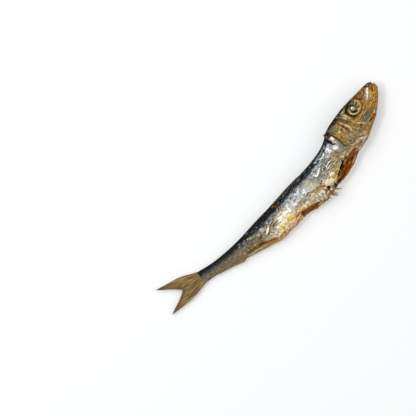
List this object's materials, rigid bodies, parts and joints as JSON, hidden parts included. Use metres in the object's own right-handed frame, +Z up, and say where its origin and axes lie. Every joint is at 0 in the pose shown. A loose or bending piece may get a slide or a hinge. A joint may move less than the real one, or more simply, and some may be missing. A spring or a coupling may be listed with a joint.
{
  "type": "dried sardine",
  "caption": "Whole dried sardine, bent and lying on its flank, with a large eye, torn belly skin, folded fins and a forked tail.",
  "frame": {"origin": "the middle of the fish's outline from above, on the surface that it lies on", "axes": "+X towards the head, +Y towards the back, +Z up, out of the shown right flank"},
  "size_m": [0.1139, 0.0268, 0.0084],
  "materials": {
    "fish_skin": "dried fish skin: silver flanks with gold-brown stains, a blue-black back and an amber head, half glossy"
  },
  "bodies": {
    "root": {"sardine": "fish_skin"}
  },
  "joints": []
}
